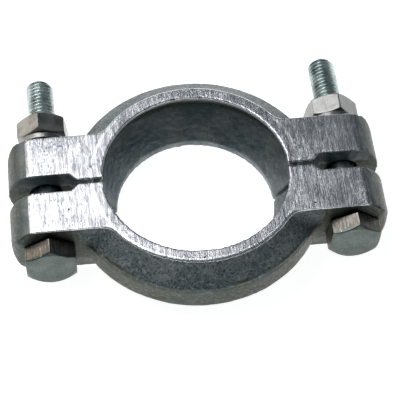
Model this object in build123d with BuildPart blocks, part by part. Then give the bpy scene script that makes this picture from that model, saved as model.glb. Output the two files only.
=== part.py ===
"""Two-bolt split pipe clamp: two forged half rings, two bolts, two lock washers, two nuts.

Frame, in millimetres: Z is the pipe axis, X runs through the two bolts and Y runs from
the bolt heads to the nuts. The origin is the centre of the bore in the bottom ground face.
Each piece is drawn about the middle of the clamp's height and raised onto that face when
it is placed. The clamp is closed, with a small gap between the contact pads.
"""
import os
from math import hypot, pi, radians, sqrt, tan

from build123d import *

os.makedirs("parts", exist_ok=True)

# ---------------------------------------------------------------- half rings
HEIGHT = 23.0            # ground top flat to ground bottom flat, along the pipe
LIP_TOP_R = 32.0         # bore of the upper lip
LIP_LOW_R = 27.6         # bore of the lower lip
LIP_TOP_LAND = 1.8       # height of the upper lip's bore face
LIP_LOW_LAND = 2.4       # height of the lower lip's bore face
GROOVE_R = 37.0          # deepest part of the groove, where its cone meets the upper lip
GROOVE_Z = 5.0           # height of that meeting above the middle
GROOVE_ROUND = 2.0       # rounding at that meeting
FLAT_R = 36.1            # outer edge of the ground flats
RIM_R = 44.3             # outside of the ring
RIM_Z = 4.6              # half height of the outer band
RIM_ROUND = 2.0          # rounding between the band and the two outer cones
PAD_GAP = 1.2            # gap between the contact pads of the two halves
RELIEF = 2.9             # depth of the relief beside a contact pad
RELIEF_X = 42.0          # middle of the step from pad to relief
RELIEF_R = 1.4           # rounding at the top and foot of that step
BOLT_X = 51.8            # bolt axes
HOLE_R = 5.6             # clearance holes for the bolts
LUG_END_X = 65.0         # far end of the lugs
LUG_END_R = 12.2         # radius of the rounded lug ends, about a line along Y
LUG_OUT = 20.9           # outer face of a lug at its middle band
LUG_FLAT_OUT = 19.5      # outer face of a lug where it meets the ground flats
LUG_PLAN_R = 5.0         # rounding of the outer corners of a lug, seen from above
LUG_BAND_R = 12.0        # rounding where the draft of the outer face starts
ROOT_R = 4.5             # fillet between a lug and the ring

# ---------------------------------------------------------------- fasteners
THREAD_D = 9.9           # M10 thread, crest diameter
CORE_D = 8.2             # M10 thread, root diameter
PITCH = 1.5
THREAD_PLAY = 0.06       # radial clearance between the nut's bore and the thread crests
THREAD_LEAD = 0.3        # how far the ridge starts inside the shank
TIP_DOME = 1.4           # length of the rounded tip
SHANK_R = 4.95           # plain shank
BOLT_LEN = 73.0          # under the head
THREAD_LEN = 36.0
AF = 17.0                # across flats, head and nut
HEAD_H = 6.4
NUT_H = 8.2
NUT_SINK = 0.6           # countersink of the nut's bore
WASHER_H = 2.2           # lock washer section, also its height when flattened
WASHER_OD = 18.1
WASHER_ID = 10.3
WASHER_SLIT = 1.8
WASHER_TURN = 180.0      # keeps the splits of the lock washers away from the top
HEAD_TURN = {"left": 30.0, "right": 36.0}    # hexagon rotation about the bolt
NUT_TURN = {"left": 23.0, "right": 44.0}
WASHER_HEIGHT = {"left": 4.2, "right": 2.2}  # the left one is slack and stands open
SIDES = {"left": -1, "right": 1}
HALVES = {"front": -1, "back": 1}

HALF_H = HEIGHT / 2
SEAT = LUG_OUT           # distance of the head and washer seats from the parting plane
END_AXIS_X = LUG_END_X - LUG_END_R


def ring_solid():
    """Outside of the whole ring: a middle band between two cones."""
    with BuildPart() as ring:
        with BuildSketch(Plane.XZ) as section:
            with BuildLine():
                Polyline(
                    (0, -HALF_H),
                    (FLAT_R, -HALF_H),
                    (RIM_R, -RIM_Z),
                    (RIM_R, RIM_Z),
                    (FLAT_R, HALF_H),
                    (0, HALF_H),
                    close=True,
                )
            make_face()
            rim = [v for v in section.vertices() if v.X > RIM_R - 0.1]
            fillet(rim, radius=RIM_ROUND)
        revolve(axis=Axis.Z)
    return ring.part


def bore_solid():
    """Everything inside the lips: two lip faces and the coned groove between them."""
    with BuildPart() as bore:
        with BuildSketch(Plane.XZ) as section:
            with BuildLine():
                Polyline(
                    (0, -HALF_H - 1),
                    (LIP_LOW_R, -HALF_H - 1),
                    (LIP_LOW_R, -HALF_H + LIP_LOW_LAND),
                    (GROOVE_R, GROOVE_Z),
                    (LIP_TOP_R, HALF_H - LIP_TOP_LAND),
                    (LIP_TOP_R, HALF_H + 1),
                    (0, HALF_H + 1),
                    close=True,
                )
            make_face()
            deepest = [v for v in section.vertices() if v.X > GROOVE_R - 0.1]
            fillet(deepest, radius=GROOVE_ROUND)
        revolve(axis=Axis.Z)
    return bore.part


def lug_bar(side):
    """Both lugs of a half as one bar: rounded ends, outer face with forging draft."""
    with BuildPart() as bar:
        with BuildSketch(Plane.XY.offset(-HALF_H)) as plan:
            with Locations((0, side * LUG_OUT / 2)):
                Rectangle(2 * LUG_END_X, LUG_OUT)
            outer = [v for v in plan.vertices() if side * v.Y > LUG_OUT - 0.1]
            fillet(outer, radius=LUG_PLAN_R)
        extrude(amount=HEIGHT)
        with BuildSketch(Plane.XZ):
            Rectangle(2 * END_AXIS_X, 2 * LUG_END_R)
            with Locations((END_AXIS_X, 0), (-END_AXIS_X, 0)):
                Circle(LUG_END_R)
        extrude(amount=100, both=True, mode=Mode.INTERSECT)
        with BuildSketch(Plane.YZ) as across:
            with BuildLine():
                Polyline(
                    (0, -HALF_H),
                    (side * LUG_FLAT_OUT, -HALF_H),
                    (side * LUG_OUT, -RIM_Z),
                    (side * LUG_OUT, RIM_Z),
                    (side * LUG_FLAT_OUT, HALF_H),
                    (0, HALF_H),
                    close=True,
                )
            make_face()
            band = [v for v in across.vertices() if abs(v.X) > LUG_OUT - 0.1]
            fillet(band, radius=LUG_BAND_R)
        extrude(amount=100, both=True, mode=Mode.INTERSECT)
    return bar.part


def relief_solid(side):
    """Material cut from the parting face beside both contact pads."""
    foot = side * (PAD_GAP / 2 + RELIEF)
    pad = side * PAD_GAP / 2
    with BuildPart() as relief:
        for way in (-1, 1):
            with BuildSketch(Plane.XY.offset(-HALF_H - 1)) as cut:
                with BuildLine():
                    Polyline(
                        (way * (RELIEF_X - 4), -side * 2),
                        (way * (RELIEF_X - 4), pad),
                        (way * (RELIEF_X - RELIEF / 2), pad),
                        (way * (RELIEF_X + RELIEF / 2), foot),
                        (way * (LUG_END_X + 2), foot),
                        (way * (LUG_END_X + 2), -side * 2),
                        close=True,
                    )
                make_face()
                step = []
                for vertex in cut.vertices():
                    if abs(abs(vertex.X) - RELIEF_X) < RELIEF / 2 + 0.1:
                        step.append(vertex)
                fillet(step, radius=RELIEF_R)
            extrude(amount=HEIGHT + 2)
    return relief.part


def root_edges(part, side):
    """Edges where the outer faces of the lugs run into the outside of the ring."""
    slope = (RIM_R - FLAT_R) / (HALF_H - RIM_Z)
    found = []
    for edge in part.edges():
        middle = edge @ 0.5
        ring_r = RIM_R - slope * max(0.0, abs(middle.Z) - RIM_Z)
        near_ring = abs(hypot(middle.X, middle.Y) - ring_r) < 0.8
        at_lug = side * middle.Y > 16 and 25 < abs(middle.X) < 42
        if near_ring and at_lug and abs(middle.Z) < HALF_H - 0.1:
            found.append(edge)
    return found


def half_ring(side):
    """One forged half: ring, lugs, relieved parting faces and two bolt holes."""
    with BuildPart() as half:
        add(ring_solid())
        with BuildSketch(Plane.XY.offset(-HALF_H)):
            with Locations((0, side * 50)):
                Rectangle(200, 100)
        extrude(amount=HEIGHT, mode=Mode.INTERSECT)
        add(lug_bar(side))
        fillet(root_edges(half, side), radius=ROOT_R)
        add(bore_solid(), mode=Mode.SUBTRACT)
        with BuildSketch(Plane.XY.offset(-HALF_H)):
            with Locations((0, side * (50 + PAD_GAP / 2))):
                Rectangle(200, 100)
        extrude(amount=HEIGHT, mode=Mode.INTERSECT)
        add(relief_solid(side), mode=Mode.SUBTRACT)
        with BuildSketch(Plane.XZ):
            with Locations((BOLT_X, 0), (-BOLT_X, 0)):
                Circle(HOLE_R)
        extrude(amount=-side * 40, mode=Mode.SUBTRACT)
    return half.part


def hexagon_solid(x, y0, y1, turn, chamfer_low, chamfer_high):
    """Hexagonal prism along Y with 30 degree chamfered corners at the chosen ends."""
    low, high = min(y0, y1), max(y0, y1)
    face_r = 0.475 * AF
    drop = (AF / sqrt(3) + 1 - face_r) * tan(radians(30))
    with BuildPart() as prism:
        with BuildSketch(Plane(origin=(x, low, 0), x_dir=(1, 0, 0), z_dir=(0, 1, 0))):
            RegularPolygon(AF / sqrt(3), 6, rotation=turn)
        extrude(amount=high - low)
        with BuildSketch(Plane(origin=(x, 0, 0), x_dir=(1, 0, 0), z_dir=(0, 0, 1))):
            with BuildLine():
                Polyline(
                    (0, low),
                    (face_r if chamfer_low else AF, low),
                    (AF / sqrt(3) + 1 if chamfer_low else AF, low + drop),
                    (AF / sqrt(3) + 1 if chamfer_high else AF, high - drop),
                    (face_r if chamfer_high else AF, high),
                    (0, high),
                    close=True,
                )
            make_face()
        revolve(axis=Axis((x, 0, 0), (0, 1, 0)), mode=Mode.INTERSECT)
    return prism.part


def thread_ridge(x, y0, length, core_r, crest_r):
    """Right-hand V ridge wound along Y, sunk slightly into the core it stands on."""
    root_half = PITCH * 0.44
    crest_half = PITCH * 0.07
    sink = 0.05
    flank = (root_half - crest_half) / (crest_r - core_r)
    with BuildPart() as ridge:
        with BuildLine() as path:
            Helix(
                pitch=PITCH,
                height=length,
                radius=core_r,
                center=(x, y0, 0),
                direction=(0, 1, 0),
            )
        start = path.line @ 0
        outward = Vector(start.X - x, 0, start.Z).normalized()
        with BuildSketch(Plane(origin=start, x_dir=outward, z_dir=path.line % 0)):
            with BuildLine():
                Polyline(
                    (-sink, -root_half - flank * sink),
                    (crest_r - core_r, -crest_half),
                    (crest_r - core_r, crest_half),
                    (-sink, root_half + flank * sink),
                    close=True,
                )
            make_face()
        sweep(path=path.line, is_frenet=True)
    return ridge.part


def bolt_solid(x, turn):
    """Hex bolt: chamfered head, plain shank, rolled thread with a rounded tip."""
    core_r = CORE_D / 2
    crest_r = THREAD_D / 2
    tip = BOLT_LEN - SEAT
    thread_y = tip - THREAD_LEN
    with BuildPart() as bolt:
        with BuildSketch(Plane(origin=(x, 0, 0), x_dir=(1, 0, 0), z_dir=(0, 0, 1))):
            with BuildLine():
                Polyline(
                    (0, -SEAT - 1),
                    (SHANK_R, -SEAT - 1),
                    (SHANK_R, thread_y),
                    (core_r, thread_y + SHANK_R - core_r),
                    (core_r, tip - TIP_DOME),
                    (core_r * 0.8, tip - TIP_DOME * 0.35),
                    (core_r * 0.4, tip),
                    (0, tip),
                    close=True,
                )
            make_face()
        revolve(axis=Axis((x, 0, 0), (0, 1, 0)))
        ridge_length = THREAD_LEN + THREAD_LEAD - TIP_DOME - 0.4
        add(thread_ridge(x, thread_y - THREAD_LEAD, ridge_length, core_r, crest_r))
        add(hexagon_solid(x, -SEAT - HEAD_H, -SEAT, turn, True, False))
    return bolt.part


def nut_solid(x, y0, turn):
    """Hex nut with chamfered corners and a countersunk bore that clears the thread crests."""
    bore_r = THREAD_D / 2 + THREAD_PLAY
    with BuildPart() as nut:
        add(hexagon_solid(x, y0, y0 + NUT_H, turn, True, True))
        with BuildSketch(Plane(origin=(x, 0, 0), x_dir=(1, 0, 0), z_dir=(0, 0, 1))):
            with BuildLine():
                Polyline(
                    (0, y0),
                    (bore_r + NUT_SINK, y0),
                    (bore_r, y0 + NUT_SINK),
                    (bore_r, y0 + NUT_H - NUT_SINK),
                    (bore_r + NUT_SINK, y0 + NUT_H),
                    (0, y0 + NUT_H),
                    close=True,
                )
            make_face()
        revolve(axis=Axis((x, 0, 0), (0, 1, 0)), mode=Mode.SUBTRACT)
    return nut.part


def washer_solid(x, free_height):
    """Split lock washer on the lug seat: flattened, or sprung open when it is slack."""
    mean_r = (WASHER_OD + WASHER_ID) / 4
    width = (WASHER_OD - WASHER_ID) / 2
    rise = free_height - WASHER_H
    part_turn = 1 - WASHER_SLIT / (2 * pi * mean_r)
    with BuildPart() as washer:
        if rise > 0:
            with BuildLine() as path:
                Helix(
                    pitch=rise / part_turn,
                    height=rise,
                    radius=mean_r,
                    center=(x, SEAT + WASHER_H / 2, 0),
                    direction=(0, 1, 0),
                    lefthand=True,
                )
            start = path.line @ 0
            outward = Vector(start.X - x, 0, start.Z).normalized()
            with BuildSketch(Plane(origin=start, x_dir=outward, z_dir=path.line % 0)):
                Rectangle(width, WASHER_H)
            sweep(path=path.line, is_frenet=True)
        else:
            with BuildSketch(Plane(origin=(x, SEAT, 0), x_dir=(1, 0, 0), z_dir=(0, 1, 0))):
                Circle(WASHER_OD / 2)
                Circle(WASHER_ID / 2, mode=Mode.SUBTRACT)
                with Locations((mean_r, 0)):
                    Rectangle(width + 2, WASHER_SLIT, rotation=12, mode=Mode.SUBTRACT)
            extrude(amount=WASHER_H)
    return washer.part.rotate(Axis((x, 0, 0), (0, 1, 0)), WASHER_TURN)


# ---------------------------------------------------------------- the eight pieces
ON_BOTTOM_FACE = (0, 0, HALF_H)

for half_name, half_side in HALVES.items():
    with BuildPart() as half_piece:
        with Locations(ON_BOTTOM_FACE):
            add(half_ring(half_side))
    half_piece.part.label = half_name + "_half"
    export_step(half_piece.part, "parts/" + half_name + "_half.step")

for side_name, side in SIDES.items():
    bolt_x = side * BOLT_X
    washer_height = WASHER_HEIGHT[side_name]

    with BuildPart() as bolt_piece:
        with Locations(ON_BOTTOM_FACE):
            add(bolt_solid(bolt_x, HEAD_TURN[side_name]))
    bolt_piece.part.label = "bolt_" + side_name
    export_step(bolt_piece.part, "parts/bolt_" + side_name + ".step")

    with BuildPart() as washer_piece:
        with Locations(ON_BOTTOM_FACE):
            add(washer_solid(bolt_x, washer_height))
    washer_piece.part.label = "washer_" + side_name
    export_step(washer_piece.part, "parts/washer_" + side_name + ".step")

    with BuildPart() as nut_piece:
        with Locations(ON_BOTTOM_FACE):
            add(nut_solid(bolt_x, SEAT + washer_height, NUT_TURN[side_name]))
    nut_piece.part.label = "nut_" + side_name
    export_step(nut_piece.part, "parts/nut_" + side_name + ".step")
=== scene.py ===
"""Looks of the split pipe clamp: forged halves with ground flats, zinc-plated fasteners.

Each CAD node is copied and the copy is shown in its place, with softly worn edges and, on the
two halves, an uneven forged skin. All sizes are in metres, in the CAD frame.
"""
import math

import bmesh
import bpy
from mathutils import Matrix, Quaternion, Vector, noise


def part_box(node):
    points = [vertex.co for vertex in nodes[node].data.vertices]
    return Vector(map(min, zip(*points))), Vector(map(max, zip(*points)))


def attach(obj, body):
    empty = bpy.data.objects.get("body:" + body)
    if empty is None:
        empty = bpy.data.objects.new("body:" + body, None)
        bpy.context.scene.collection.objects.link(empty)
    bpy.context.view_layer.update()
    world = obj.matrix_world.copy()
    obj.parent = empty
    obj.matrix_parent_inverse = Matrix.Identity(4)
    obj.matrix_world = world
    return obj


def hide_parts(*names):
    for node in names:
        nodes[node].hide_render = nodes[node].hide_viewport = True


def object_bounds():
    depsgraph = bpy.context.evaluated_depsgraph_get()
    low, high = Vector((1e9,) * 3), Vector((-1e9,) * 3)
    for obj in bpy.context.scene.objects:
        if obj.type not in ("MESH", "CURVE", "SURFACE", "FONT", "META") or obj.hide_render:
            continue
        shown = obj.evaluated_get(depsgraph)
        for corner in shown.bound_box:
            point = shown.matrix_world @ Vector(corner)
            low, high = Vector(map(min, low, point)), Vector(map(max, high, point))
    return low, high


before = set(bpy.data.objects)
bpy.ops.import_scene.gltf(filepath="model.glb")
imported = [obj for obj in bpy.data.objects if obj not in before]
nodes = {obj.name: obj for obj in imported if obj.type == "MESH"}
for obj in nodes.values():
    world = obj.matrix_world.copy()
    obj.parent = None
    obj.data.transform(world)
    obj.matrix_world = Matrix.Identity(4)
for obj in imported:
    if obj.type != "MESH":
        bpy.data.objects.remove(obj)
cad_low, cad_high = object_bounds()

MM = 0.001
SIDES = ("left", "right")

# ---------------------------------------------------------------- places on the clamp
FLAT_TOP = cad_high.z                    # height of the ground top flat
FLAT_BOTTOM = cad_low.z
RING_R = -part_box("front_half")[0].y      # outside radius of the ring
FLAT_R = 36.1 * MM                       # outer edge of the ring's ground flats
LUG_FLAT_OUT = 19.5 * MM                 # outer edge of the lugs' ground flats, along Y
LUG_TINT_AND_SHADE = 59 * MM                       # where the olive tint and painted shade of the lug ends begin, along X
HEAD_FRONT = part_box("bolt_right")[0].y   # front face of the bolt heads
HEAD_BACK = HEAD_FRONT + 6.4 * MM

# depth below a ground flat over which its look gives way to the forged skin
GROUND_FULL = 0.42 * MM
GROUND_GONE = 0.60 * MM

# ---------------------------------------------------------------- mesh sizes
HALF_VOXEL = 0.5 * MM                    # mesh size of the halves
SMALL_VOXEL = 0.2 * MM                   # mesh size of bolts, nuts and washers
WELD = 0.002 * MM                        # joins the CAD mesh along its face edges
FORGE_DEPTH = 0.30 * MM                  # most that the forged skin is sunk
LUMP = 7 * MM                            # size of the skin's dents
GRAIN = 1.6 * MM                         # size of its finer unevenness
FLAT_FADE = 1.2 * MM                     # the sinking grows over this distance from a flat
FLAT_SHARE = 0.12                        # part of the sinking that is left on a flat

# ---------------------------------------------------------------- colours
SKIN_DARK = (0.12, 0.15, 0.162, 1)
SKIN_LIGHT = (0.215, 0.235, 0.237, 1)
# olive tint of the forging, which is also dark as painted shade on the side faces of the ring and lugs
OLIVE_AND_SHADE = (0.052, 0.056, 0.038, 1)
GRAIN_LIGHT = (0.34, 0.39, 0.40, 1)
GRAIN_DARK = (0.04, 0.05, 0.055, 1)
# painted shade along the edge where the cone meets the rim
CREASE_SHADE = (0.035, 0.045, 0.02, 1)
# painted glints on the forged skin
PAINTED_GLINT = (0.65, 0.70, 0.70, 1)

FLAT_GREY = (0.42, 0.425, 0.46, 1)
FLAT_WHITE = (0.80, 0.81, 0.85, 1)
MOTTLE = (0.34, 0.355, 0.39, 1)
SPECK = (0.10, 0.11, 0.12, 1)
PIT = (0.03, 0.03, 0.03, 1)
# painted highlight along the outer edges of the flats
EDGE_HIGHLIGHT = (0.92, 0.95, 0.97, 1)

BRONZE = (0.112, 0.102, 0.090, 1)
BRONZE_LIGHT = (0.25, 0.235, 0.21, 1)
GREEN_GREY = (0.128, 0.152, 0.142, 1)
GREEN_DARK = (0.080, 0.099, 0.092, 1)
# painted light on the bolt shanks and threads
SHANK_PAINTED_LIGHT = (0.70, 0.80, 0.79, 1)
SHANK_PAINTED_LIGHT_DIM = (0.34, 0.41, 0.41, 1)
# painted light and shade: the two nuts take a lighter and a darker copy of one zinc, for the light each
# one catches
NUT_LIGHT = {"left": (0.46, 0.455, 0.45, 1), "right": (0.36, 0.36, 0.355, 1)}
NUT_DARK = {"left": (0.32, 0.31, 0.295, 1), "right": (0.26, 0.26, 0.255, 1)}
SCUFF = (0.72, 0.72, 0.70, 1)
DIRT = (0.06, 0.06, 0.06, 1)

# ---------------------------------------------------------------- camera and studio settings
CAMERA_AT = Vector((-0.0374, -0.3124, 0.4665))
CAMERA_AIM = Vector((0.0005, -0.0081, 0.0173))
CAMERA_LENS = 142.7
CAMERA_ROLL = math.radians(1.025)
ROOM = (0.80, 0.93, 1.0, 1)
ROOM_STRENGTH = 0.12
TABLE_HALF = 3                           # half the side of the square table
TABLE_GLOW = 0.92


def make_camera():
    """Long lens from the front, above the bolt heads."""
    data = bpy.data.cameras.new("camera")
    data.lens = CAMERA_LENS
    data.sensor_width = 36.0
    data.clip_start = 0.01
    data.clip_end = 20
    camera = bpy.data.objects.new("camera", data)
    bpy.context.scene.collection.objects.link(camera)
    camera.location = CAMERA_AT
    look = (CAMERA_AIM - CAMERA_AT).to_track_quat("-Z", "Y")
    camera.rotation_mode = "QUATERNION"
    camera.rotation_quaternion = look @ Quaternion((0, 0, 1), CAMERA_ROLL)
    bpy.context.scene.camera = camera


def new_material(name):
    """A material with a plain Principled shader, and that shader."""
    material = bpy.data.materials.new(name)
    material.use_nodes = True
    return material, material.node_tree.nodes["Principled BSDF"]


def softbox(name, azimuth, elevation, distance, size, power, colour):
    """Area light that faces the clamp. Azimuth 0 is behind it (+Y), positive to +X."""
    data = bpy.data.lights.new(name, "AREA")
    data.shape = "RECTANGLE"
    data.size = size[0]
    data.size_y = size[1]
    data.energy = power
    data.color = colour
    lamp = bpy.data.objects.new(name, data)
    bpy.context.scene.collection.objects.link(lamp)
    turn = math.radians(azimuth)
    lift = math.radians(elevation)
    level = math.cos(lift)
    way = Vector((math.sin(turn) * level, math.cos(turn) * level, math.sin(lift)))
    lamp.location = Vector((0, 0, FLAT_TOP / 2)) + way * distance
    lamp.rotation_euler = (-way).to_track_quat("-Z", "Y").to_euler()


def open_below(material, shader):
    """Let the table be seen through from below, so that the underside can be looked at."""
    tree = material.node_tree
    side = tree.nodes.new("ShaderNodeNewGeometry")
    clear = tree.nodes.new("ShaderNodeBsdfTransparent")
    mix = tree.nodes.new("ShaderNodeMixShader")
    output = tree.nodes["Material Output"]
    tree.links.new(side.outputs["Backfacing"], mix.inputs[0])
    tree.links.new(shader.outputs[0], mix.inputs[1])
    tree.links.new(clear.outputs[0], mix.inputs[2])
    tree.links.new(mix.outputs[0], output.inputs["Surface"])


def make_table():
    """White table that glows, so that it stays white in shadow."""
    mesh = bpy.data.meshes.new("floor")
    corners = [(-TABLE_HALF, -TABLE_HALF, 0), (TABLE_HALF, -TABLE_HALF, 0),
               (TABLE_HALF, TABLE_HALF, 0), (-TABLE_HALF, TABLE_HALF, 0)]
    mesh.from_pydata(corners, [], [(0, 1, 2, 3)])
    floor = bpy.data.objects.new("floor", mesh)
    bpy.context.scene.collection.objects.link(floor)
    material, shader = new_material("white_table")
    shader.inputs["Base Color"].default_value = (0.8, 0.8, 0.8, 1)
    shader.inputs["Roughness"].default_value = 0.9
    shader.inputs["Emission Color"].default_value = (1, 1, 1, 1)
    shader.inputs["Emission Strength"].default_value = TABLE_GLOW
    mesh.materials.append(material)
    open_below(material, shader)


def make_studio():
    """White table, dim cool room, one large soft light behind on the left and weak fills."""
    world = bpy.data.worlds.new("studio")
    bpy.context.scene.world = world
    world.use_nodes = True
    background = world.node_tree.nodes["Background"]
    background.inputs["Color"].default_value = ROOM
    background.inputs["Strength"].default_value = ROOM_STRENGTH
    make_table()
    softbox("key", azimuth=-50, elevation=57, distance=0.9,
            size=(0.70, 0.50), power=4.6, colour=(1.0, 1.0, 1.0))
    softbox("warm_left", azimuth=-58, elevation=20, distance=1.0,
            size=(0.40, 0.30), power=0.75, colour=(1.0, 0.90, 0.76))
    softbox("fill_right", azimuth=75, elevation=35, distance=1.2,
            size=(0.35, 0.5), power=0.12, colour=(0.85, 0.93, 1.0))
    bpy.context.scene.view_settings.view_transform = "Standard"


# ---------------------------------------------------------------- node helpers
class Tree:
    """Short ways to add and link shader nodes of one material."""

    def __init__(self, material):
        self.tree = material.node_tree
        self.coords = self.add("ShaderNodeTexCoord").outputs["Object"]

    def add(self, kind, **settings):
        node = self.tree.nodes.new(kind)
        for key, value in settings.items():
            setattr(node, key, value)
        return node

    def feed(self, socket, value):
        """Link a socket to another one, or set it to a number or colour."""
        if isinstance(value, bpy.types.NodeSocket):
            self.tree.links.new(value, socket)
        else:
            socket.default_value = value

    def noise(self, size_mm, detail, rough, stretch=(1, 1, 1), shift=0.0):
        """Noise from 0 to 1 whose features are about size_mm across, longer along stretch."""
        mapping = self.add("ShaderNodeMapping")
        scale = [1 / (size_mm * MM * s) for s in stretch]
        mapping.inputs["Scale"].default_value = scale
        mapping.inputs["Location"].default_value = (shift, shift * 0.7, shift * 1.3)
        self.feed(mapping.inputs["Vector"], self.coords)
        texture = self.add("ShaderNodeTexNoise")
        texture.inputs["Scale"].default_value = 1.0
        texture.inputs["Detail"].default_value = detail
        texture.inputs["Roughness"].default_value = rough
        self.feed(texture.inputs["Vector"], mapping.outputs["Vector"])
        return texture.outputs["Fac"]

    def math(self, operation, a, b=0.0):
        node = self.add("ShaderNodeMath", operation=operation)
        self.feed(node.inputs[0], a)
        self.feed(node.inputs[1], b)
        return node.outputs[0]

    def times(self, a, b):
        return self.math("MULTIPLY", a, b)

    def plus(self, a, b):
        return self.math("ADD", a, b)

    def larger(self, a, b):
        return self.math("MAXIMUM", a, b)

    def ramp(self, value, low, high, out_low=0.0, out_high=1.0):
        """Smooth step of value from low to high, clamped."""
        node = self.add("ShaderNodeMapRange", interpolation_type="SMOOTHSTEP")
        self.feed(node.inputs["Value"], value)
        node.inputs["From Min"].default_value = low
        node.inputs["From Max"].default_value = high
        node.inputs["To Min"].default_value = out_low
        node.inputs["To Max"].default_value = out_high
        return node.outputs["Result"]

    def band(self, value, rise, fall):
        """1 between two limits: value rises through the pair rise and falls through fall."""
        return self.times(self.ramp(value, *rise), self.ramp(value, *fall, 1.0, 0.0))

    def mix(self, factor, a, b):
        """Colour a to colour b."""
        node = self.add("ShaderNodeMix", data_type="RGBA")
        self.feed(node.inputs["Factor"], factor)
        self.feed(node.inputs[6], a)
        self.feed(node.inputs[7], b)
        return node.outputs[2]

    def blend(self, factor, a, b):
        """Number a to number b."""
        node = self.add("ShaderNodeMix", data_type="FLOAT")
        self.feed(node.inputs["Factor"], factor)
        self.feed(node.inputs[2], a)
        self.feed(node.inputs[3], b)
        return node.outputs[0]

    def axis(self, name):
        split = self.add("ShaderNodeSeparateXYZ")
        self.feed(split.inputs[0], self.coords)
        return split.outputs[name]

    def reach(self, name):
        """Distance from the origin along one axis, whichever way."""
        return self.math("ABSOLUTE", self.axis(name))

    def radius(self):
        """Distance from the pipe axis."""
        flatten = self.add("ShaderNodeVectorMath", operation="MULTIPLY")
        self.feed(flatten.inputs[0], self.coords)
        flatten.inputs[1].default_value = (1, 1, 0)
        length = self.add("ShaderNodeVectorMath", operation="LENGTH")
        self.feed(length.inputs[0], flatten.outputs["Vector"])
        return length.outputs["Value"]

    def bump(self, height, depth_mm):
        node = self.add("ShaderNodeBump")
        node.inputs["Strength"].default_value = 1.0
        node.inputs["Distance"].default_value = depth_mm * MM
        self.feed(node.inputs["Height"], height)
        return node.outputs["Normal"]


# ---------------------------------------------------------------- materials
def ground_mask(tree):
    """1 on the two ground flats, with a slightly ragged edge."""
    ragged = tree.ramp(tree.noise(2.2, 4, 0.7), 0.3, 0.7, -0.06 * MM, 0.06 * MM)
    height = tree.plus(tree.axis("Z"), ragged)
    top = tree.ramp(height, FLAT_TOP - GROUND_GONE, FLAT_TOP - GROUND_FULL)
    bottom = tree.ramp(height, FLAT_BOTTOM + GROUND_GONE, FLAT_BOTTOM + GROUND_FULL)
    return tree.larger(top, bottom)


def forged_skin(tree):
    """Colour, roughness and relief of the forging: sandy and cloudy, olive and darkened as painted
    shade low on the outside.
    """
    sand = tree.noise(1.2, 5, 0.8)
    grit = tree.noise(0.7, 4, 0.75, shift=3.1)
    cloud = tree.noise(11.0, 4, 0.6, shift=7.7)
    height = tree.axis("Z")
    radius = tree.radius()

    # the upper cone runs from the flat down to the rim; all below it on the outside is olive, darkened
    # as painted shade
    below_cone = tree.ramp(height, 0.68 * FLAT_TOP, 0.735 * FLAT_TOP, 1.0, 0.0)
    outside = tree.ramp(radius, FLAT_R - 1.0 * MM, FLAT_R - 0.2 * MM)
    on_ring = tree.ramp(radius, RING_R + 0.5 * MM, RING_R + 4 * MM, 1.0, 0.0)
    cone = tree.times(outside, on_ring)
    sandy = tree.times(cone, tree.ramp(below_cone, 0.0, 1.0, 1.0, 0.25))
    sandy = tree.larger(sandy, 0.22)

    # the fronts and the rounded ends of the lugs are olive too, with the same painted shade
    lug_front = tree.ramp(tree.reach("Y"), LUG_FLAT_OUT - 0.7 * MM, LUG_FLAT_OUT + 0.3 * MM)
    lug_front = tree.times(lug_front, tree.ramp(radius, RING_R, RING_R + 3 * MM))
    lug_end = tree.ramp(tree.reach("X"), LUG_TINT_AND_SHADE, LUG_TINT_AND_SHADE + 3 * MM, 0.0, 0.85)
    olive_and_shade = tree.larger(tree.times(below_cone, outside), lug_front)
    olive_and_shade = tree.larger(olive_and_shade, lug_end)
    olive_and_shade = tree.times(olive_and_shade, tree.ramp(cloud, 0.30, 0.70, 0.72, 1.0))

    colour = tree.mix(tree.ramp(cloud, 0.38, 0.62), SKIN_DARK, SKIN_LIGHT)
    colour = tree.mix(olive_and_shade, colour, OLIVE_AND_SHADE)
    colour = tree.mix(tree.times(tree.ramp(sand, 0.50, 0.68), sandy), colour, GRAIN_LIGHT)
    colour = tree.mix(tree.times(tree.ramp(grit, 0.52, 0.36), sandy), colour, GRAIN_DARK)

    # painted shade: broken dark line where the cone meets the rim
    crease_shade = tree.band(height, (0.700 * FLAT_TOP, 0.725 * FLAT_TOP), (0.73 * FLAT_TOP, 0.76 * FLAT_TOP))
    crease_shade = tree.times(tree.times(crease_shade, cone), tree.ramp(cloud, 0.40, 0.60))
    colour = tree.mix(tree.times(crease_shade, 0.7), colour, CREASE_SHADE)

    # painted glints: bright points everywhere but on the olive stretches with painted shade
    glint = tree.ramp(tree.noise(0.7, 2, 0.5, shift=14.2), 0.70, 0.76)
    glint = tree.times(glint, tree.ramp(olive_and_shade, 0.2, 0.5, 0.7, 0.0))
    colour = tree.mix(glint, colour, PAINTED_GLINT)

    rough = tree.ramp(sand, 0.35, 0.7, 0.46, 0.28)
    grain = tree.plus(tree.times(sand, 0.9), tree.times(grit, 0.4))
    return colour, rough, tree.times(grain, sandy)


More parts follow.
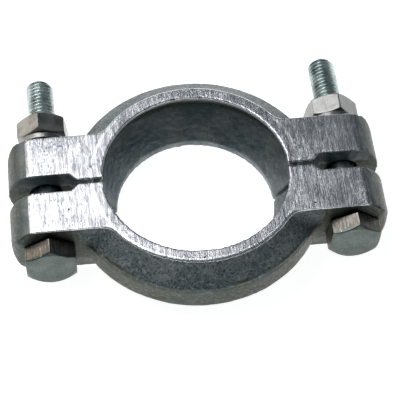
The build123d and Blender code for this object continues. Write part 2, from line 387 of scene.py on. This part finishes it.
def ground_flat(tree):
    """Colour, roughness and relief of the flats: scratches along Y, specks, pits, painted highlights on
    the edges.
    """
    fine = tree.noise(0.30, 3, 0.7, stretch=(1, 16, 1), shift=1.3)
    coarse = tree.noise(1.1, 4, 0.72, stretch=(1, 8, 1), shift=5.9)
    speck = tree.noise(0.6, 4, 0.85, stretch=(1, 1.8, 1), shift=9.1)
    patch = tree.noise(8.0, 4, 0.65, shift=2.2)
    across = tree.reach("Y")
    radius = tree.radius()

    # duller patches, more of them far from the parting plane
    far_out = tree.ramp(across, 11 * MM, 18 * MM, 0.0, 0.10)
    mottled = tree.ramp(tree.plus(patch, far_out), 0.50, 0.62)
    colour = tree.mix(tree.ramp(coarse, 0.34, 0.60), FLAT_GREY, FLAT_WHITE)
    colour = tree.mix(tree.times(mottled, 0.45), colour, MOTTLE)
    speck_line = tree.plus(speck, tree.times(mottled, -0.10))
    colour = tree.mix(tree.ramp(speck_line, 0.38, 0.28, 0.0, 0.7), colour, SPECK)
    pits = tree.ramp(tree.noise(1.8, 1, 0.5, shift=21.0), 0.745, 0.775)
    colour = tree.mix(pits, colour, PIT)

    # painted highlight: thin bright line along the outer edges
    lug_highlight = tree.times(tree.ramp(across, LUG_FLAT_OUT - 0.6 * MM, LUG_FLAT_OUT - 0.2 * MM),
                          tree.ramp(radius, FLAT_R, FLAT_R + 1 * MM))
    ring_highlight = tree.band(radius, (FLAT_R - 1.0 * MM, FLAT_R - 0.6 * MM),
                          (FLAT_R + 0.1 * MM, FLAT_R + 0.5 * MM))
    edge_highlight = tree.times(tree.larger(lug_highlight, ring_highlight), tree.ramp(coarse, 0.35, 0.50))
    colour = tree.mix(edge_highlight, colour, EDGE_HIGHLIGHT)

    rough = tree.ramp(fine, 0.3, 0.7, 0.20, 0.32)
    relief = tree.plus(tree.times(fine, 0.09), tree.times(coarse, 0.16))
    relief = tree.plus(relief, tree.ramp(speck, 0.30, 0.43, -0.06, 0.0))
    return colour, rough, relief


def forged_material():
    """Zinc over forged steel, with the two flats ground along Y."""
    material, shader = new_material("forged_zinc")
    tree = Tree(material)
    ground = ground_mask(tree)
    skin_colour, skin_rough, skin_relief = forged_skin(tree)
    flat_colour, flat_rough, flat_relief = ground_flat(tree)
    tree.feed(shader.inputs["Base Color"], tree.mix(ground, skin_colour, flat_colour))
    tree.feed(shader.inputs["Roughness"], tree.blend(ground, skin_rough, flat_rough))
    tree.feed(shader.inputs["Normal"], tree.bump(tree.blend(ground, skin_relief, flat_relief), 0.55))
    shader.inputs["Metallic"].default_value = 1.0
    return material


def fastener_material(name, light, dark, on_bolt=False):
    """Zinc plating: cloudy, scuffed and pitted.

    A bolt's head is dull in front and bronze beside, and its shank is painted bright, as painted light
    on a shank that lies in shade.
    """
    material, shader = new_material(name)
    tree = Tree(material)
    cloud = tree.noise(4.5, 3, 0.55, shift=4.4)
    scuff = tree.noise(0.55, 4, 0.7, stretch=(1, 7, 1), shift=8.3)
    stain = tree.noise(3.0, 4, 0.6, shift=11.7)
    pit = tree.noise(0.55, 3, 0.6, shift=6.6)
    colour = tree.mix(tree.ramp(cloud, 0.30, 0.70), dark, light)
    colour = tree.mix(tree.ramp(stain, 0.50, 0.70, 0.0, 0.35), colour, BRONZE)
    if on_bolt:
        along = tree.axis("Y")
        beside = tree.ramp(along, HEAD_FRONT + 0.9 * MM, HEAD_FRONT + 1.6 * MM)
        streaks = tree.mix(tree.ramp(scuff, 0.34, 0.72), BRONZE, BRONZE_LIGHT)
        colour = tree.mix(beside, colour, streaks)
        # painted light: the shank is painted bright where it lies in shade, and the thread with it
        shank = tree.ramp(along, HEAD_BACK, HEAD_BACK + 1 * MM)
        colour = tree.mix(shank, colour, tree.mix(tree.ramp(cloud, 0.3, 0.7), SHANK_PAINTED_LIGHT_DIM, SHANK_PAINTED_LIGHT))
    colour = tree.mix(tree.ramp(scuff, 0.60, 0.78), colour, SCUFF)
    colour = tree.mix(tree.ramp(pit, 0.36, 0.24), colour, DIRT)
    tree.feed(shader.inputs["Base Color"], colour)
    tree.feed(shader.inputs["Roughness"], tree.ramp(cloud, 0.3, 0.7, 0.26, 0.38))
    relief = tree.plus(tree.times(scuff, 0.5), tree.times(cloud, 0.5))
    tree.feed(shader.inputs["Normal"], tree.bump(relief, 0.16))
    shader.inputs["Metallic"].default_value = 1.0
    return material


# ---------------------------------------------------------------- meshes
def soft_copy(node, voxel, rounds):
    """Closed copy of a CAD node's mesh in even small faces, with softly worn edges."""
    mesh = nodes[node].data.copy()
    work = bmesh.new()
    work.from_mesh(mesh)
    bmesh.ops.remove_doubles(work, verts=work.verts, dist=WELD)
    work.to_mesh(mesh)
    work.free()
    piece = bpy.data.objects.new(node + "_finish", mesh)
    bpy.context.scene.collection.objects.link(piece)
    remesh = piece.modifiers.new("even", "REMESH")
    remesh.mode = "VOXEL"
    remesh.voxel_size = voxel
    remesh.use_smooth_shade = True
    smooth = piece.modifiers.new("worn", "SMOOTH")
    smooth.factor = 0.5
    smooth.iterations = rounds
    graph = bpy.context.evaluated_depsgraph_get()
    made = bpy.data.meshes.new_from_object(piece.evaluated_get(graph))
    piece.modifiers.clear()
    piece.data = made
    made.materials.clear()
    return piece


def forge(piece, depth):
    """Sink the skin unevenly by up to depth, least on the two ground flats."""
    mesh = piece.data
    normals = [Vector(n.vector) for n in mesh.vertex_normals]
    for vertex, normal in zip(mesh.vertices, normals):
        at = vertex.co
        level = min(abs(at.z - FLAT_TOP), abs(at.z - FLAT_BOTTOM))
        skin = min(1.0, level / FLAT_FADE)
        lumps = noise.noise(at / LUMP) * 0.5 + 0.5
        grain = noise.noise(at / GRAIN) * 0.5 + 0.5
        share = FLAT_SHARE + (1 - FLAT_SHARE) * skin
        vertex.co = at - normal * (depth * (0.55 * lumps + 0.45 * grain) * share)
    mesh.update()


def finish_piece(piece, node, material):
    """Give the piece its material and let it stand for the CAD node, on the same body."""
    piece.data.materials.append(material)
    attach(piece, node)
    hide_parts(node)


# ---------------------------------------------------------------- the clamp
make_camera()
make_studio()

forged_zinc = forged_material()
bolt_zinc = fastener_material("bolt_zinc", GREEN_GREY, GREEN_DARK, on_bolt=True)
nut_zinc_lit_and_shaded = {side: fastener_material("nut_zinc_" + side, NUT_LIGHT[side], NUT_DARK[side])
            for side in SIDES}

for half in ("front_half", "back_half"):
    piece = soft_copy(half, HALF_VOXEL, 3)
    forge(piece, FORGE_DEPTH)
    finish_piece(piece, half, forged_zinc)

for side in SIDES:
    # the washers take the right nut's darker copy, as painted shade under the nuts
    plating = {"bolt_": bolt_zinc, "nut_": nut_zinc_lit_and_shaded[side], "washer_": nut_zinc_lit_and_shaded["right"]}
    for kind, material in plating.items():
        piece = soft_copy(kind + side, SMALL_VOXEL, 2)
        finish_piece(piece, kind + side, material)
